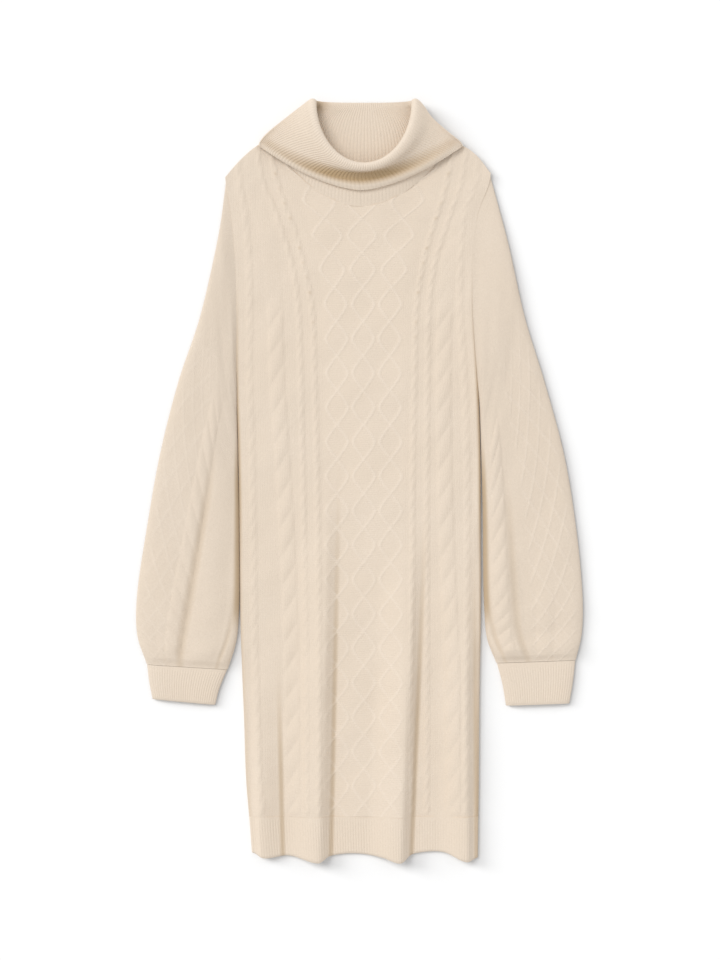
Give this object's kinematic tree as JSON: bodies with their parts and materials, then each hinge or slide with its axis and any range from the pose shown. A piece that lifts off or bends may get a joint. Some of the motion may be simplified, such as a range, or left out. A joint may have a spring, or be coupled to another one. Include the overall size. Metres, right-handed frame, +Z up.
{
  "type": "sweater dress",
  "caption": "Cable-knit sweater dress laid flat on its back: folded rib turtleneck, balloon sleeves with rib cuffs, centre lattice, rope cables and a wavy rib hem.",
  "frame": {"origin": "middle of the face that the dress rests on, at the centre of its outline seen from above", "axes": "+X to the viewer's right across the chest, +Y from the hem to the collar, +Z up from the surface out of the front of the dress"},
  "size_m": [0.6176, 1.052, 0.0365],
  "materials": {
    "knit_panel": "matt chunky wool-blend knit with raised cables",
    "knit_rib": "matt one-by-one rib knit"
  },
  "bodies": {
    "root": {"front": "knit_panel", "back": "knit_panel", "hem_rib_front": "knit_rib", "hem_rib_back": "knit_rib", "sleeve_left": "knit_panel", "sleeve_right": "knit_panel", "cuff_left": "knit_rib", "cuff_right": "knit_rib", "neckband": "knit_rib", "collar": "knit_rib"}
  },
  "joints": []
}
